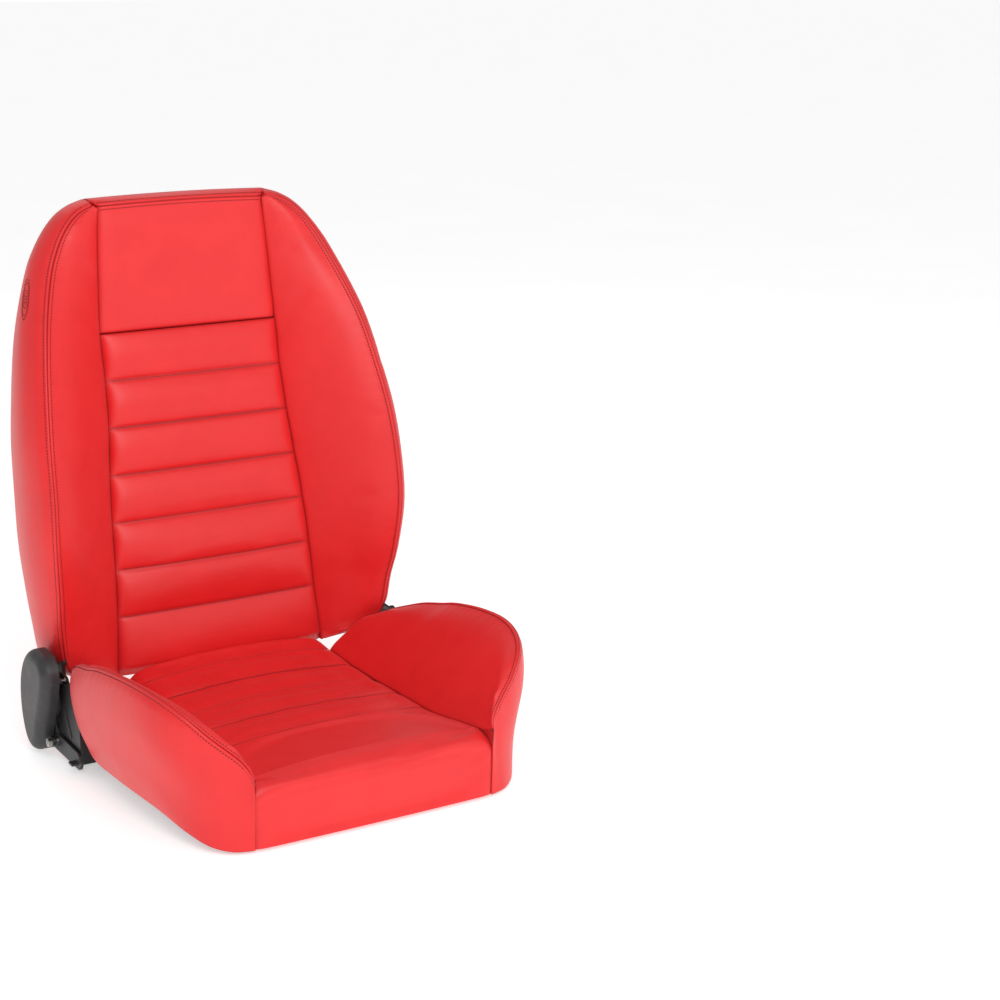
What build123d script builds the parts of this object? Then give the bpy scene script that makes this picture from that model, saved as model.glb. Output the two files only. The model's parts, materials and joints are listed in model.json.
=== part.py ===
from build123d import *
import os
from math import cos, sin, tau

# Reclining sport bucket seat: a padded cushion on a steel base and a padded back that leans on two pivots.
# +X is to the viewer's right, the seat faces -Y and +Z is up. Millimetres.
# The origin is the middle of the four base bolts, at the underside of the rails.

# ---- driving dimensions --------------------------------------------------------------------------
recline = 8.0  # lean of the back at rest, degrees
pivot_y, pivot_z = 190.0, 82.0  # the axis the back turns on
bolt_x, bolt_y = 380.0, 300.0  # base bolt spacing, side to side and front to back
bolt_r = 4.0  # M8
gap = 0.5  # between pads that touch on the real seat

# base frame
rail_w, rail_h, rail_wall = 25.0, 30.0, 2.0
rail_front, rail_rear = -205.0, 172.0
bush_r, bush_h = 8.0, 22.0
tube_r, tube_wall = 11.0, 1.6
member_t = 3.0  # pressed side members
member_x = bolt_x / 2 + rail_w / 2  # outer face of a rail
shelf_x, shelf_z = 245.0, 60.0  # outer edge and underside of the shelf that carries a bolster
spring_wire_r = 1.8
spring_throw = 17.0  # half the width of a zigzag spring
seat_spring_places, seat_spring_z = (-135, -65, 5, 75, 140), 54.0
front_tube_y, rear_tube_y = -180.0, 125.0
web_bolt_r = 4.25  # clearance for M8

# cushion
insert_half = 163.0  # half the width of the middle pad
front_y = -262.0
pad_top_front, pad_top_rear, pad_under = 102.0, 88.0, 57.0
pad_rear = 212.0
bolster_top, bolster_rear = 205.0, 158.0
cushion_half = 286.0  # half the width over the side panels

# back, in its own upright frame with the pivot at the origin
seam_z = 497.0  # seam between the channelled pad and the headrest pad
back_foot, back_top = 8.0, 688.0
pad_back = 84.0  # the plane behind the pads
hoop_y, hoop_half = 98.0, 229.0
back_spring_heights = (150, 215, 280, 340)
back_tube_heights = (112, 372)
panel_y, panel_t = 111.0, 3.0

# hinge layers, measured outwards along X
arm_in, arm_out = 262.0, 266.0  # hinge arm, on the back, round the pivot
crank_in, crank_out = 242.0, 246.0  # hinge arm above its crank, beside the hoop
crank_low, crank_high = 40.0, 60.0  # where the arm bends in and where it is upright again
arm_bolt_heights = (90, 138)
plate_in, plate_out = 268.0, 272.0  # recliner bracket, on the base
lever_in, lever_out = 274.0, 277.0
cam_in, cam_out = 281.0, 284.0
cover_in, cover_out = 279.0, 304.0
shaft_r, shaft_clear = 8.0, 0.05
lever_y, lever_z = 172.0, 27.0  # where the release lever turns
pin_y, pin_z, pin_r = 192.0, 51.0, 3.0  # the lever's drive pin
cover_screw_places = [(157, 119), (218, 30)]  # y and z of the cover's screws
screw_head = 1.5  # low heads, which the hinge arm passes
bracket_bolt_y, bracket_bolt_heights = 142.0, (20, 44)


# ---- small helpers -------------------------------------------------------------------------------
def block(x0, x1, y0, y1, z0, z1):
    """A box from its six sides."""
    size = (x1 - x0, y1 - y0, z1 - z0)
    return Pos((x0 + x1) / 2, (y0 + y1) / 2, (z0 + z1) / 2) * Box(*size)


def side_slab(face_yz, x0, x1):
    """A YZ outline, drawn as (y, z), made solid from x0 to x1."""
    return Plane.YZ * Pos(0, 0, x0) * extrude(face_yz, x1 - x0)


def rod(x0, x1, y, z, r):
    """A round bar along X."""
    return Pos((x0 + x1) / 2, y, z) * Rot(0, 90, 0) * Cylinder(r, x1 - x0)


def hexagon(x0, x1, y, z, r):
    """A hexagon bar along X, such as a bolt head."""
    return Pos(x0, y, z) * Rot(0, 90, 0) * extrude(RegularPolygon(r, 6), x1 - x0)


def polygon(points, radius=0.0):
    """A filled outline, with its corners rounded when a radius is given."""
    face = make_face(Polyline(*points, close=True))
    return fillet(face.vertices(), radius) if radius else face


def smooth(points):
    """A filled outline with a curve through its points."""
    return make_face(Spline(*points, periodic=True))


def other_side(part):
    """The same piece on the other side of the seat."""
    return mirror(part, about=Plane.YZ)


def on_back(part):
    """Takes a piece from the back's upright frame to where it is at rest."""
    return Pos(0, pivot_y, pivot_z) * Rot(-recline, 0, 0) * part


def tube(points, radii, r, wall):
    """A bent tube along a path of straight runs and arcs."""
    path = FilletPolyline(*points, radius=radii) if len(points) > 2 else Polyline(*points)
    start = Plane(path @ 0, z_dir=path % 0)
    outer = sweep(start * Circle(r), path)
    return outer - sweep(start * Circle(r - wall), path)


# ---- base ----------------------------------------------------------------------------------------
def side_rail():
    """Box-section rail, right side, with a through hole at each end for a threaded bush."""
    x = bolt_x / 2
    rail = block(x - rail_w / 2, x + rail_w / 2, rail_front, rail_rear, 0, rail_h)
    rail -= block(
        x - rail_w / 2 + rail_wall, x + rail_w / 2 - rail_wall,
        rail_front, rail_rear, rail_wall, rail_h - rail_wall,
    )
    for y in (-bolt_y / 2, bolt_y / 2):
        rail -= Pos(x, y, rail_wall / 2) * Cylinder(bush_r, rail_wall)
    return rail


def mounting_bushes():
    """Four M8 threaded bushes welded into the undersides of the rails."""
    bushes = []
    for x in (-bolt_x / 2, bolt_x / 2):
        for y in (-bolt_y / 2, bolt_y / 2):
            bush = Cylinder(bush_r, bush_h) - Cylinder(bolt_r, bush_h)
            bushes.append(Pos(x, y, bush_h / 2) * bush)
    return bushes


def cross_tube(y):
    """Round tube between the rails."""
    x = bolt_x / 2 - rail_w / 2
    z = rail_h - tube_r - 2
    return rod(-x, x, y, z, tube_r) - rod(-x, x, y, z, tube_r - tube_wall)


def side_member():
    """Pressed steel angle, right side: a web on the rail and a shelf for the bolster, tapered in front."""
    x = member_x
    web = block(x, x + member_t, -215, 168, 2, shelf_z)
    outline = polygon([(x, -215), (214, -215), (shelf_x, -150), (shelf_x, 108), (x, 108)])
    shelf = Pos(0, 0, shelf_z) * extrude(outline, member_t)
    member = web + shelf
    for z in bracket_bolt_heights:
        member -= rod(x - 1, x + member_t + 1, bracket_bolt_y, z, web_bolt_r)
    return member


def front_pan():
    """Pressed strip behind the front roll, joining the two side members."""
    x = member_x
    return block(-x, x, -218, -172, 51.5, 53.5) + block(-x, x, -220, -218, 20, 53.5)


def zigzag(length, amplitude, pitch, runs):
    """Path of one sinuous spring along X, lying in XY."""
    start = -pitch * (runs - 1) / 2
    points = [(-length / 2, 0)]
    for i in range(runs):
        x = start + i * pitch
        side = 1 if i % 2 else -1
        points += [(x, -side * amplitude), (x, side * amplitude)]
    points[1] = (start, 0)
    points[-1] = (points[-1][0], 0)
    return points + [(length / 2, 0)]


def sinuous_spring(length, amplitude, pitch, runs):
    """One zigzag wire spring."""
    path = FilletPolyline(*zigzag(length, amplitude, pitch, runs), radius=pitch * 0.45)
    return sweep(Plane(path @ 0, z_dir=path % 0) * Circle(spring_wire_r), path)


def seat_springs():
    """Zigzag springs across the base, under the middle pad."""
    spring = sinuous_spring(2 * member_x - 6, spring_throw, 27, 14)
    return [Pos(0, y, seat_spring_z) * spring for y in seat_spring_places]


def spring_clips(half, places, z):
    """Small folded clips that hold the spring ends."""
    clips = []
    for side in (-1, 1):
        for y in places:
            x = side * (half - 1.5)
            body = Box(3, 12, 6) - Pos(-side * 1, 0, 0) * Box(3, 12, 2 * spring_wire_r + 0.4)
            clips.append(Pos(x, y, z) * body)
    return clips


def underside_cloth():
    """Dust cloth under the base, between the rails."""
    x = bolt_x / 2 - rail_w / 2 - gap
    return block(-x, x, -200, 168, 3.5, 4.7)


def middle_pad():
    """Middle pad of the cushion, with the roll and skirt at the front."""
    skirt = front_y + 26
    outline = [
        (front_y + 5, 5), (front_y - 4, 58), (front_y, pad_top_front), (40, pad_top_front - 5),
        (pad_rear, pad_top_rear), (pad_rear + 5, 70), (pad_rear - 4, pad_under),
        (skirt, pad_under), (skirt, 5),
    ]
    face = make_face(Polyline(*outline, close=True))
    pad = side_slab(face, -insert_half, insert_half)
    front = pad.edges().filter_by(Axis.X).sort_by(Axis.Y)[:3].sort_by(Axis.Z)[-1]
    return fillet(front, 30)


def cushion_bolster():
    """Right bolster of the cushion: it rises to a ridge, and its side panel hangs outside the frame."""
    x0 = insert_half + gap
    section = polygon([
        (x0, 5), (x0, 99), (232, 190), (246, bolster_top), (262, bolster_top), (276, 188),
        (cushion_half, 150), (cushion_half, 108), (264, 36), (244, 5),
    ], 5)
    across = Plane.XZ * Pos(0, 0, -260) * extrude(section, 560)
    side = polygon([
        (front_y - 3, 5), (front_y - 4, 92), (-251, 124), (-234, 156), (-212, 186), (-183, 200),
        (-131, bolster_top), (-64, 199), (3, 187), (60, 176), (130, 168), (160, 140), (160, 92), (118, 88),
        (92, 56), (62, 37), (-190, 37), (-222, 5),
    ], 4)
    along = side_slab(side, 0, 300)
    plan = polygon([
        (x0, front_y - 2), (176, front_y - 2), (204, -254), (230, -236), (254, -206), (270, -160),
        (281, -100), (cushion_half, -40), (cushion_half, 44), (280, 88), (262, 113), (238, 122),
        (232, bolster_rear), (x0, bolster_rear),
    ], 4)
    above = extrude(plan, 220)
    under_frame = block(0, 247.5, -222, 200, 0, shelf_z + member_t + 1)
    bracket_slot = block(plate_in - 1, plate_out + 1, 88, 140, 0, 140)
    return across & along & above - under_frame - bracket_slot


# ---- recliner ------------------------------------------------------------------------------------
def recliner_bracket():
    """Pressed bracket, right side: a pivot plate outside, and a box foot bolted to the side member."""
    outline = [
        (100, 6), (200, 6), (232, 34), (242, 70), (234, 108), (204, 126), (170, 114), (150, 116),
        (112, 131), (92, 134), (92, 20),
    ]
    foot_x = member_x + member_t
    plate = side_slab(polygon(outline, 9), plate_in, plate_out)
    wall = block(foot_x, plate_in, 118, 121, 6, 58)
    flange = block(foot_x, foot_x + 3, 121, 165, 6, 58)
    floor = block(foot_x + 3, plate_in, 121, 165, 6, 9)
    bracket = plate + wall + flange + floor
    bracket -= rod(plate_in, plate_out, pivot_y, pivot_z, shaft_r + shaft_clear)
    for z in bracket_bolt_heights:
        bracket -= rod(foot_x - 1, foot_x + 4, bracket_bolt_y, z, web_bolt_r)
    rib = side_slab(polygon([(123, 46), (133, 42), (159, 84), (150, 90)], 3), plate_out, plate_out + 1.2)
    return bracket + rib


def recliner_bracket_left():
    """Left bracket, which has holes for the lever's bolt and the two cover screws as well."""
    bracket = other_side(recliner_bracket())
    bracket -= rod(-plate_out - 2, -plate_in + 1, lever_y, lever_z, 4.0)
    for y, z in cover_screw_places:
        bracket -= rod(-plate_out - 2, -plate_in + 1, y, z, 2.3)
    return bracket


def bracket_bolts():
    """Two M8 bolts a side through the bracket's flange and the side member."""
    bolts = []
    for side in (-1, 1):
        for z in bracket_bolt_heights:
            head = hexagon(member_x + 6, member_x + 11.5, bracket_bolt_y, z, 7.5)
            shank = rod(member_x + 0.2, member_x + 6, bracket_bolt_y, z, bolt_r)
            bolt = head + shank
            bolts.append(bolt if side > 0 else other_side(bolt))
    return bolts


def pivot_bolt_right():
    """Shoulder bolt that the right hinge arm turns on."""
    shank = rod(254, plate_out, pivot_y, pivot_z, shaft_r)
    flange = rod(plate_out, plate_out + 2.5, pivot_y, pivot_z, 15)
    head = hexagon(plate_out + 2.5, plate_out + 9, pivot_y, pivot_z, 11)
    return shank + flange + head


def pivot_nut_right():
    """Flanged nut on the inner end of the right shoulder bolt."""
    nut = hexagon(254, 260.6, pivot_y, pivot_z, 12) + rod(260, 261.6, pivot_y, pivot_z, 14)
    return nut - rod(250, 262, pivot_y, pivot_z, shaft_r)


def recliner_housing():
    """Round gear housing riveted outside the left bracket."""
    body = rod(-lever_out - 1, -plate_out, pivot_y, pivot_z, 24)
    body = fillet(body.edges().group_by(Axis.X)[0], 2)
    for i in range(4):
        a = tau * (i + 0.5) / 4
        body += rod(-lever_out - 2.2, -lever_out, pivot_y + 18 * cos(a), pivot_z + 18 * sin(a), 3)
    return body - rod(-lever_out - 3, -plate_out, pivot_y, pivot_z, shaft_r + shaft_clear)


def cam_shaft():
    """Shaft through the left pivot: it carries the hinge arm and turns the lock inside the housing."""
    shaft = rod(-cam_out - 4, -256, pivot_y, pivot_z, shaft_r)
    return shaft + rod(-260.5, -256, pivot_y, pivot_z, 13)


def lock_cam():
    """Forked arm on the shaft, driven by the lever's pin."""
    reach = pivot_z - pin_z
    arm = Plane.YZ * Pos(pivot_y, pivot_z, -cam_out) * extrude(
        polygon([(-13, 10), (13, 10), (12, -reach - 11), (-7, -reach - 11)], 3), cam_out - cam_in
    )
    slot = block(
        -cam_out, -cam_in, pin_y - pin_r - 1.0, pin_y + pin_r + 1.0, pin_z - 20, pin_z + pin_r + 3
    )
    return arm - slot - rod(-cam_out, -cam_in, pivot_y, pivot_z, shaft_r)


def release_lever():
    """Pressed lever: a long bar forwards, a short arm up to the drive pin, and a folded finger tab."""
    bar = polygon([
        (184, 20), (184, 35), (172, 38), (92, 36), (86, 31), (86, 22), (92, 18), (172, 16),
    ], 3)
    up = polygon([(178, 20), (166, 32), (185, 54), (192, 57), (198, 52), (197, 44), (186, 30)], 2)
    lever = side_slab(bar, -lever_out, -lever_in) + side_slab(up, -lever_out, -lever_in)
    lever += block(-lever_out - 9, -lever_out, 90, 104, 18.6, 21.6)
    return lever - rod(-lever_out, -lever_in, lever_y, lever_z, 5.05)


def drive_pin():
    """Pin riveted in the lever's short arm."""
    return rod(-cam_out - 1.5, -lever_out, pin_y, pin_z, pin_r)


def lever_bolt():
    """Shoulder bolt that the release lever turns on."""
    shoulder = rod(-288, -plate_out, lever_y, lever_z, 5.0)
    head = hexagon(-292, -288, lever_y, lever_z, 6.5)
    return shoulder + head + rod(-plate_out, -plate_in, lever_y, lever_z, 4.0)


def lever_spring():
    """Torsion spring round the lever's bolt."""
    coil = Helix(pitch=2.2, height=7.5, radius=7.2)
    wire = sweep(Plane(coil @ 0, z_dir=coil % 0) * Circle(0.8), coil)
    return Pos(-286.8, lever_y, lever_z) * Rot(0, 90, 0) * wire


def cover_outline(inset):
    """Outline of the recliner cover, as (y, z), drawn in towards its middle by the inset."""
    points = [
        (182, 158), (222, 146), (246, 112), (253, 74), (245, 34), (225, 9), (204, 6), (190, 18),
        (176, 46), (160, 78), (147, 108), (143, 138), (156, 153),
    ]
    middle = Vector(200, 84)
    return smooth([p - (p - middle).normalized() * inset for p in map(Vector, points)])


def recliner_cover():
    """Moulded cover over the left pivot, open towards the bracket, with two screw bosses."""
    wall = 2.5
    outer = side_slab(cover_outline(0), -cover_out, -cover_in)
    outer = fillet(outer.faces().sort_by(Axis.X)[0].edges(), 15)
    hollow = side_slab(cover_outline(wall * 1.2), -cover_out + wall, -cover_in)
    hollow = fillet(hollow.faces().sort_by(Axis.X)[0].edges(), 12.5)
    cover = outer - hollow
    for y, z in cover_screw_places:
        boss = rod(-cover_out + 14, -plate_out, y, z, 4.5)
        bridge = rod(-cover_out, -cover_out + 14, y, z, 4.5) & outer
        cover = cover + boss + bridge
        cover -= rod(-plate_out - 12, -plate_out, y, z, 1.9)
    return cover


def cover_screws():
    """Two screws from inside the bracket into the cover's bosses."""
    screws = []
    for y, z in cover_screw_places:
        head = rod(-plate_in, -plate_in + screw_head, y, z, 4.0)
        screws.append(head + rod(-plate_out - 9, -plate_in, y, z, 1.9))
    return screws


# ---- back ----------------------------------------------------------------------------------------
def back_hoop():
    """Bent tube hoop, in the back's upright frame."""
    points = [
        (hoop_half, hoop_y, 62), (hoop_half, hoop_y, 400), (204, hoop_y, 560), (150, hoop_y, 640),
        (-150, hoop_y, 640), (-204, hoop_y, 560), (-hoop_half, hoop_y, 400), (-hoop_half, hoop_y, 62),
    ]
    hoop = tube(points, [120, 70, 55, 55, 70, 120], tube_r, tube_wall)
    for z in arm_bolt_heights:
        for side in (-1, 1):
            hoop -= rod(*sorted((side * hoop_half, side * crank_in)), hoop_y, z, bolt_r)
    return hoop


def back_cross_tube(z):
    """Straight tube between the legs of the hoop, with its ends shaped to them."""
    r = tube_r - 3
    bar = rod(-hoop_half, hoop_half, hoop_y, z, r) - rod(-hoop_half, hoop_half, hoop_y, z, r - tube_wall)
    for side in (-1, 1):
        bar -= Pos(side * hoop_half, hoop_y, z) * Cylinder(tube_r, 40)
    return bar.solids().sort_by(SortBy.VOLUME)[-1]


def back_springs():
    """Zigzag springs across the back, between the legs of the hoop."""
    spring = sinuous_spring(2 * (hoop_half - tube_r) - 8, spring_throw, 27.5, 15)
    return [Pos(0, hoop_y - 6, z) * Rot(90, 0, 0) * spring for z in back_spring_heights]


def back_clips():
    """Clips on the hoop for the spring ends."""
    clips = []
    for part in spring_clips(hoop_half - tube_r - 1, back_spring_heights, 0):
        clips.append(Pos(0, hoop_y - 6, 0) * Rot(90, 0, 0) * part)
    return clips


def hinge_arm():
    """Right hinge arm, in the back's upright frame: a plate from the pivot, cranked in beside the hoop."""
    outline = [(-42, 4), (-42, 34), (-4, 48), (80, 158), (109, 158), (109, 68), (12, -24), (-18, -22)]
    side = side_slab(Circle(27), crank_in, arm_out) + side_slab(polygon(outline, 8), crank_in, arm_out)
    bend = 1.7  # the inner corners of the crank are this much lower, so the plate stays as thick
    strip = make_face(Polyline(
        (arm_out, -30), (arm_out, crank_low), (crank_out, crank_high), (crank_out, 170), (crank_in, 170),
        (crank_in, crank_high - bend), (arm_in, crank_low - bend), (arm_in, -30), close=True,
    ))
    plate = side & Plane.XZ * Pos(0, 0, -130) * extrude(strip, 180)
    for z in arm_bolt_heights:
        plate -= rod(crank_in, crank_out, hoop_y, z, bolt_r + 0.25)
    return plate - rod(arm_in, arm_out, 0, 0, shaft_r + shaft_clear)


def arm_spacers():
    """Four saddle washers between the hoop's legs and the hinge arms."""
    spacers = []
    for z in arm_bolt_heights:
        spacer = rod(hoop_half, crank_in, hoop_y, z, 9) - Pos(hoop_half, hoop_y, z) * Cylinder(tube_r, 40)
        spacer = spacer.solids().sort_by(Axis.X)[-1] - rod(hoop_half, crank_in, hoop_y, z, bolt_r)
        spacers += [spacer, other_side(spacer)]
    return spacers


def arm_bolts():
    """Four low-headed M8 bolts through the hinge arms and washers into the hoop."""
    bolts = []
    for z in arm_bolt_heights:
        bolt = hexagon(crank_out, crank_out + 4, hoop_y, z, 7.5)
        bolt += rod(hoop_half - 3, crank_out, hoop_y, z, bolt_r)
        bolts += [bolt, other_side(bolt)]
    return bolts


def back_middle_pad():
    """Channelled middle pad of the back, with the plain panel below it."""
    profile = polygon([
        (35, back_foot), (32, 92), (36, 230), (40, 362), (46, seam_z - gap), (pad_back, seam_z - gap),
        (pad_back, back_foot),
    ])
    pad = side_slab(profile, -insert_half, insert_half)
    front = polygon([
        (-160, back_foot), (160, back_foot), (151, 160), (137, 360), (135, seam_z), (-135, seam_z),
        (-137, 360), (-151, 160),
    ])
    return pad & Plane.XZ * Pos(0, 0, -120) * extrude(front, 120)


def headrest_pad():
    """Plain pad above the seam, which rolls over the top of the back."""
    profile = polygon([
        (46, seam_z), (36, 600), (33, 655), (40, 680), (56, back_top), (88, back_top), (104, 676),
        (104, 668), (pad_back, 668), (pad_back, seam_z),
    ])
    pad = side_slab(profile, -140, 140)
    front = polygon([(-135, seam_z), (135, seam_z), (126, 672), (126, 700), (-126, 700), (-126, 672)])
    return pad & Plane.XZ * Pos(0, 0, -120) * extrude(front, 120)


def bolster_section(z, inner, surface, ridge_x, ridge_y, outer):
    """Cross-section of the right back bolster at one height, as a closed outline."""
    rear = panel_y - 1 if z > 40 else pad_back + 4
    step = min(252, outer - 24)
    points = [
        (inner + gap, surface + 4), ((inner + ridge_x) / 2, (surface + ridge_y) / 2 + 8),
        (ridge_x - 12, ridge_y + 2), (ridge_x + 2, ridge_y - 2), ((ridge_x + outer) / 2 + 4, ridge_y + 22),
        (outer, (ridge_y + rear) / 2 + 6), (outer - 7, rear - 16), (outer - 20, rear),
        (step, rear), (step, pad_back), (inner + gap, pad_back),
    ]
    return Pos(0, 0, z) * make_face(Polyline(*points, close=True))


def back_bolster():
    """Right bolster of the back, narrower at the shoulder, which leaves room for the hinge arm."""
    stations = [
        # height, half-width inside, pad surface, ridge x, ridge y, half-width outside
        (12, 163, 36, 196, 26, 216), (30, 162, 35, 224, 16, 244), (52, 159, 34, 240, 6, 272),
        (100, 155, 32, 250, -22, 277), (160, 151, 33, 256, -48, 281),
        (230, 146, 36, 262, -65, 286), (300, 141, 38, 262, -66, 287), (380, 137, 41, 256, -56, 284),
        (450, 136, 44, 246, -38, 274), (510, 135, 46, 232, -18, 259), (560, 133, 42, 218, 2, 242),
        (600, 131, 38, 204, 12, 222), (635, 129, 36, 184, 16, 200), (668, 127, 38, 156, 20, 172),
    ]
    body = loft([bolster_section(*s) for s in stations], ruled=True)
    arm_slot = block(crank_in - 1, crank_out + 5.5, -30, 130, 20, 166)
    crank_space = block(crank_in - 1, 300, -60, 130, 0, crank_high + 4)
    return body - arm_slot - crank_space


def back_panel():
    """Board that closes the rear of the back."""
    right = [
        (236, 60), (252, 100), (264, 160), (271, 230), (272, 300), (269, 380), (259, 450), (244, 510),
        (227, 560), (206, 600), (184, 635), (156, 664), (120, 678),
    ]
    left = [(-x, z) for x, z in reversed(right)]
    return Plane.XZ * Pos(0, 0, -panel_y - panel_t) * extrude(polygon(right + left), panel_t)


# ---- assembly ------------------------------------------------------------------------------------
def write(name, shape):
    """One file for one node, which may be a group of solids."""
    solids = shape if isinstance(shape, list) else [shape]
    export_step(Compound(children=solids) if len(solids) > 1 else solids[0], f"parts/{name}.step")


os.makedirs("parts", exist_ok=True)

write("side_rail_right", side_rail())
write("side_rail_left", other_side(side_rail()))
write("mounting_bushes", mounting_bushes())
write("front_cross_tube", cross_tube(front_tube_y))
write("rear_cross_tube", cross_tube(rear_tube_y))
write("side_member_right", side_member())
write("side_member_left", other_side(side_member()))
write("front_pan", front_pan())
write("seat_springs", seat_springs())
write("seat_spring_clips", spring_clips(member_x, seat_spring_places, seat_spring_z))
write("underside_cloth", underside_cloth())
write("cushion_middle_pad", middle_pad())
write("cushion_bolster_right", cushion_bolster())
write("cushion_bolster_left", other_side(cushion_bolster()))

write("recliner_bracket_right", recliner_bracket())
write("recliner_bracket_left", recliner_bracket_left())
write("bracket_bolts", bracket_bolts())
write("pivot_bolt_right", pivot_bolt_right())
write("pivot_nut_right", pivot_nut_right())
write("recliner_housing", recliner_housing())
write("cam_shaft", cam_shaft())
write("lock_cam", lock_cam())
write("release_lever", release_lever())
write("drive_pin", drive_pin())
write("lever_bolt", lever_bolt())
write("lever_spring", lever_spring())
write("recliner_cover", recliner_cover())
write("cover_screws", cover_screws())

write("back_hoop", on_back(back_hoop()))
write("back_cross_tube_lower", on_back(back_cross_tube(back_tube_heights[0])))
write("back_cross_tube_upper", on_back(back_cross_tube(back_tube_heights[1])))
write("back_springs", [on_back(s) for s in back_springs()])
write("back_spring_clips", [on_back(c) for c in back_clips()])
write("hinge_arm_right", on_back(hinge_arm()))
write("hinge_arm_left", on_back(other_side(hinge_arm())))
write("arm_spacers", [on_back(s) for s in arm_spacers()])
write("arm_bolts", [on_back(b) for b in arm_bolts()])
write("back_middle_pad", on_back(back_middle_pad()))
write("headrest_pad", on_back(headrest_pad()))
write("back_bolster_right", on_back(back_bolster()))
write("back_bolster_left", on_back(other_side(back_bolster())))
write("back_panel", on_back(back_panel()))
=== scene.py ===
import json
import math
import bpy
import numpy as np
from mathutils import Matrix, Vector


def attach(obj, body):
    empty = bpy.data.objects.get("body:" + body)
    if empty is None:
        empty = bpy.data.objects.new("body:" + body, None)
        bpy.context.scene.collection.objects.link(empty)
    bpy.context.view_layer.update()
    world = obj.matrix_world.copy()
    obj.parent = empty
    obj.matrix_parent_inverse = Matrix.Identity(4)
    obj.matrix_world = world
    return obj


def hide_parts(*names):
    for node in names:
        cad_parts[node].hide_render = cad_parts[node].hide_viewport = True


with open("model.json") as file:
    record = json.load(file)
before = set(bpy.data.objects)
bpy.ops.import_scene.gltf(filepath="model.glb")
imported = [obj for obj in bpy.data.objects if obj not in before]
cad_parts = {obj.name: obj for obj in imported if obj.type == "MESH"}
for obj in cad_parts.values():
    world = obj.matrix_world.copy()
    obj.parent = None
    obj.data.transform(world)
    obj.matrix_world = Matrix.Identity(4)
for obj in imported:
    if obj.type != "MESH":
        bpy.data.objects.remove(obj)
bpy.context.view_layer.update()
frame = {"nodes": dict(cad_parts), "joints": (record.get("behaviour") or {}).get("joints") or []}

# ---- Base frame and hinge steelwork ---------------------------------------------------------------
# Box rails, cross tubes, pressed members, brackets and the back's tube hoop, in mild steel.
# They are welded, then powder-coated satin black: a fine orange-peel skin, with a little
# shop dust in it and the sheen broken where it has been handled.


def linear(code):
    """A #rrggbb colour as linear RGBA."""
    parts = [int(code[i:i + 2], 16) / 255 for i in (1, 3, 5)]
    return tuple(c / 12.92 if c <= 0.04045 else ((c + 0.055) / 1.055) ** 2.4 for c in parts) + (1,)


def new_material(name):
    """An empty node material: returns it, its tree, its Principled shader and the object position."""
    material = bpy.data.materials.new(name)
    material.use_nodes = True
    tree = material.node_tree
    here = tree.nodes.new("ShaderNodeTexCoord").outputs["Object"]
    return material, tree, tree.nodes["Principled BSDF"], here


def connect(tree, node, links):
    """Links into a node's inputs. A node given as a source stands for its first output."""
    for key, source in links.items():
        tree.links.new(getattr(source, "outputs", [source])[0], node.inputs[key])


def add(tree, kind, values=None, links=None, stops=(), **settings):
    """Adds a node with its settings, input values, links into its inputs, and a ramp's stops."""
    node = tree.nodes.new(kind)
    for key, value in settings.items():
        setattr(node, key, value)
    for key, value in (values or {}).items():
        node.inputs[key].default_value = value
    connect(tree, node, links or {})
    for n, (position, colour) in enumerate(stops):
        node.color_ramp.elements[n].position = position
        node.color_ramp.elements[n].color = linear(colour)
    return node


def give(material, *nodes):
    """Puts a material on CAD nodes."""
    for name in nodes:
        for place_for_it in frame["nodes"][name].material_slots:
            place_for_it.material = material


mm = 0.001
powder, tree, shader, here = new_material("powder_coat_satin_black")
peel_mm, dust_mm, rub_mm = 1.6, 9.0, 28.0
dust = add(tree, "ShaderNodeTexNoise", {"Scale": 1 / (dust_mm * mm), "Detail": 4, "Roughness": 0.5},
           {"Vector": here})
tint = add(tree, "ShaderNodeValToRGB", links={"Fac": dust}, stops=[(0.35, "#141415"), (0.75, "#222224")])
rubbed = add(tree, "ShaderNodeTexNoise", {"Scale": 1 / (rub_mm * mm), "Detail": 5, "Roughness": 0.5},
             {"Vector": here})
sheen = add(tree, "ShaderNodeMapRange", {"To Min": 0.34, "To Max": 0.52}, {"Value": rubbed})
peel = add(tree, "ShaderNodeTexNoise", {"Scale": 1 / (peel_mm * mm), "Detail": 2, "Roughness": 0.5},
           {"Vector": here})
skin = add(tree, "ShaderNodeBump", {"Strength": 0.7, "Distance": 0.06 * mm}, {"Height": peel})
connect(tree, shader, {"Base Color": tint, "Roughness": sheen, "Normal": skin})
give(powder, "side_rail_right", "side_rail_left", "front_cross_tube", "rear_cross_tube",
     "side_member_right", "side_member_left", "front_pan", "recliner_bracket_right",
     "recliner_bracket_left", "back_hoop", "back_cross_tube_lower", "back_cross_tube_upper",
     "hinge_arm_right", "hinge_arm_left")

# ---- Fasteners, bushes and the lock shaft ----------------------------------------------------------
# M8 bolts, welded bushes, the shoulder bolt, the lever's pin and the lock shaft.
# Cold-formed or turned steel with bright zinc plating, which dulls unevenly and shows turning marks.

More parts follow.
